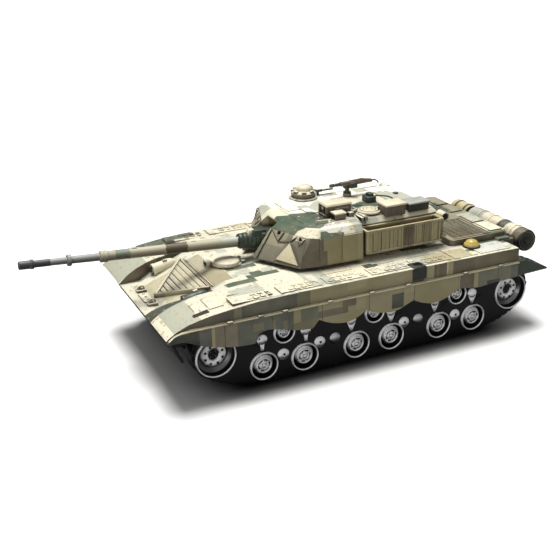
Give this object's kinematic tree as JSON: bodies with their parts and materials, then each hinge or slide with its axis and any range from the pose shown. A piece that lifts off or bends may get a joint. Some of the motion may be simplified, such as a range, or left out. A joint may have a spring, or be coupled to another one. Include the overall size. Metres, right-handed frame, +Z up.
{
  "type": "remote control tank",
  "caption": "Radio-controlled toy battle tank with block camouflage, turning turret, raising gun, plated wheels on black track panels and hidden geared running wheels.",
  "frame": {"origin": "on the ground, on the centreline, under the middle of the overall length from muzzle to rear drum", "axes": "+X forward towards the gun, +Y to the tank's left, +Z up"},
  "size_m": [0.3484, 0.1424, 0.098],
  "materials": {
    "camo_plastic": "satin moulded plastic with printed square-block camouflage in cream, grey-green, khaki, brown-grey and dark green",
    "black_plastic": "satin black moulded plastic",
    "silver_plate": "vacuum-plated silver plastic",
    "clear_lens": "dark clear moulding",
    "yellow_plastic": "glossy golden yellow plastic",
    "steel": "zinc-plated steel",
    "battery_wrap": "blue shrink wrap",
    "board_green": "green solder mask",
    "white_nylon": "natural nylon",
    "tyre_rubber": "soft black rubber"
  },
  "bodies": {
    "hull": {"battery_pack": "battery_wrap", "chassis_tub": "black_plastic", "circuit_board": "board_green", "engine_deck": "camo_plastic", "front_axle": "steel", "fuel_cap": "yellow_plastic", "headlight_leds": "clear_lens", "headlight_lenses": "clear_lens", "headlight_pods": "camo_plastic", "hull_screws": "steel", "hull_upper_shell": "camo_plastic", "left_drive_motor": "steel", "left_end_wheel_faces": "silver_plate", "left_gearbox_case": "white_nylon", "left_road_wheel_faces": "silver_plate", "left_running_gear_panel": "black_plastic", "left_side_skirt": "camo_plastic", "left_suspension_caps": "silver_plate", "power_switch_body": "black_plastic", "rear_drum": "camo_plastic", "rear_mudflaps": "camo_plastic", "right_drive_motor": "steel", "right_end_wheel_faces": "silver_plate", "right_gearbox_case": "white_nylon", "right_road_wheel_faces": "silver_plate", "right_running_gear_panel": "black_plastic", "right_side_skirt": "camo_plastic", "right_suspension_caps": "silver_plate", "speaker": "black_plastic", "turret_motor": "steel"},
    "turret": {"turret_upper_shell": "camo_plastic", "turret_base_ring": "black_plastic", "left_stowage_basket": "camo_plastic", "right_stowage_basket": "camo_plastic", "sight_housing": "camo_plastic", "roof_boxes": "camo_plastic", "commander_cupola": "camo_plastic", "loader_hatch": "camo_plastic"},
    "gun": {"gun_mantlet": "camo_plastic", "gun_barrel": "camo_plastic"},
    "turret_drive_pinion": {"turret_pinion": "white_nylon"},
    "top_machine_gun": {"machine_gun": "camo_plastic"},
    "switch_knob": {"power_switch_knob": "white_nylon"},
    "battery_door": {"battery_door": "black_plastic"},
    "left_rear_wheel": {"left_drive_axle": "steel", "left_axle_gear": "white_nylon", "left_rear_wheel_hub": "black_plastic", "left_rear_tyre": "tyre_rubber"},
    "left_compound": {"left_compound_gear": "white_nylon"},
    "left_motor_shaft": {"left_motor_pinion": "white_nylon"},
    "left_front_wheel": {"left_front_wheel_hub": "black_plastic", "left_front_tyre": "tyre_rubber"},
    "right_rear_wheel": {"right_drive_axle": "steel", "right_axle_gear": "white_nylon", "right_rear_wheel_hub": "black_plastic", "right_rear_tyre": "tyre_rubber"},
    "right_compound": {"right_compound_gear": "white_nylon"},
    "right_motor_shaft": {"right_motor_pinion": "white_nylon"},
    "right_front_wheel": {"right_front_wheel_hub": "black_plastic", "right_front_tyre": "tyre_rubber"}
  },
  "joints": [
    {"name": "turret_turn", "type": "hinge", "parent": "hull", "child": "turret", "pos_m": [-0.03328, 0, 0.062], "axis": [0, 0, 1], "range_deg": [-150, 150]},
    {"name": "turret_pinion_spin", "type": "hinge", "parent": "hull", "child": "turret_drive_pinion", "pos_m": [-0.06216, 0, 0.052], "axis": [0, 0, 1], "range_deg": [-750, 750]},
    {"name": "gun_elevation", "type": "hinge", "parent": "turret", "child": "gun", "pos_m": [0.00672, 0, 0.0707], "axis": [0, -1, 0], "range_deg": [-3, 9]},
    {"name": "machine_gun_swing", "type": "hinge", "parent": "turret", "child": "top_machine_gun", "pos_m": [-0.05728, -0.015, 0.092], "axis": [0, 0, 1], "range_deg": [-60, 60]},
    {"name": "switch_slide", "type": "slide", "parent": "hull", "child": "switch_knob", "axis": [1, 0, 0], "range_m": [0, 0.003]},
    {"name": "battery_door_lift_off", "type": "slide", "parent": "hull", "child": "battery_door", "axis": [0, 0, -1], "range_m": [0, 0.025]},
    {"name": "left_rear_wheel_spin", "type": "hinge", "parent": "hull", "child": "left_rear_wheel", "pos_m": [-0.11328, 0.046, 0.016], "axis": [0, 1, 0], "continuous": true},
    {"name": "left_compound_spin", "type": "hinge", "parent": "hull", "child": "left_compound", "pos_m": [-0.10422, 0.027, 0.016], "axis": [0, 1, 0], "continuous": true},
    {"name": "left_motor_spin", "type": "hinge", "parent": "hull", "child": "left_motor_shaft", "pos_m": [-0.09516, 0.027, 0.016], "axis": [0, 1, 0], "continuous": true},
    {"name": "left_front_wheel_spin", "type": "hinge", "parent": "hull", "child": "left_front_wheel", "pos_m": [0.04672, 0.046, 0.016], "axis": [0, 1, 0], "continuous": true},
    {"name": "right_rear_wheel_spin", "type": "hinge", "parent": "hull", "child": "right_rear_wheel", "pos_m": [-0.11328, -0.046, 0.016], "axis": [0, 1, 0], "continuous": true},
    {"name": "right_compound_spin", "type": "hinge", "parent": "hull", "child": "right_compound", "pos_m": [-0.10422, -0.027, 0.016], "axis": [0, 1, 0], "continuous": true},
    {"name": "right_motor_spin", "type": "hinge", "parent": "hull", "child": "right_motor_shaft", "pos_m": [-0.09516, -0.027, 0.016], "axis": [0, 1, 0], "continuous": true},
    {"name": "right_front_wheel_spin", "type": "hinge", "parent": "hull", "child": "right_front_wheel", "pos_m": [0.04672, -0.046, 0.016], "axis": [0, 1, 0], "continuous": true}
  ],
  "couplings": [
    {"joint": "turret_pinion_spin", "follows": "turret_turn", "ratio": -5},
    {"joint": "left_compound_spin", "follows": "left_rear_wheel_spin", "ratio": -2},
    {"joint": "left_motor_spin", "follows": "left_rear_wheel_spin", "ratio": 4},
    {"joint": "right_compound_spin", "follows": "right_rear_wheel_spin", "ratio": -2},
    {"joint": "right_motor_spin", "follows": "right_rear_wheel_spin", "ratio": 4}
  ]
}
